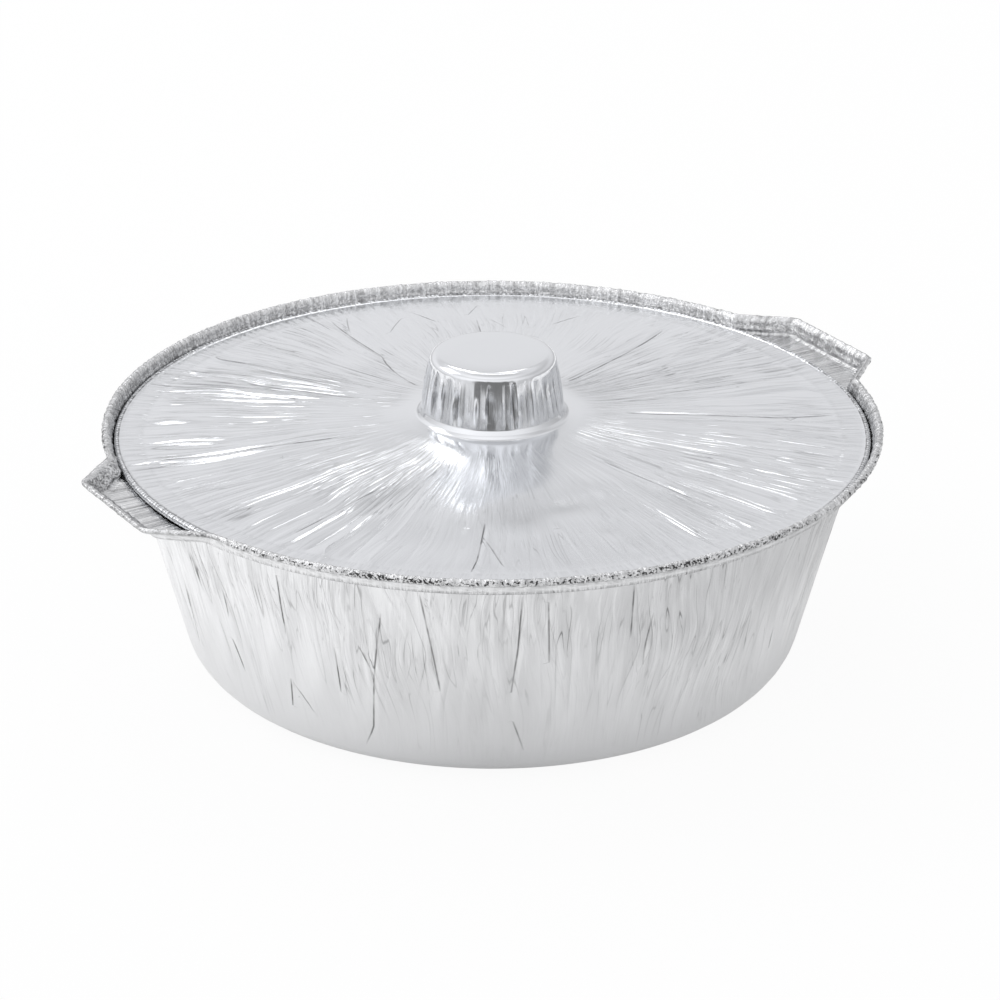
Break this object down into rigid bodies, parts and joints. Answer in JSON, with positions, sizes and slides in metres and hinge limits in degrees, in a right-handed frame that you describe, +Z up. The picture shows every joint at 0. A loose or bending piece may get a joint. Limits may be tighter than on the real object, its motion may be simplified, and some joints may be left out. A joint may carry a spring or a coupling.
{
  "type": "foil food container",
  "caption": "Round pressed foil pot with a rolled rim, two flat carrying lips and a loose foil lid with a raised knob.",
  "frame": {"origin": "centre of the pot's flat base, on the surface it stands on", "axes": "+Z up along the pot's axis, +X through the two carrying lips, +Y square to them"},
  "size_m": [0.2932, 0.2698, 0.1113],
  "materials": {
    "pot_foil": "satin rolled foil with fine upright pleats",
    "lid_foil": "bright rolled foil with creases fanning out from the knob"
  },
  "bodies": {
    "root": {"pot": "pot_foil", "lid": "lid_foil"}
  },
  "joints": []
}
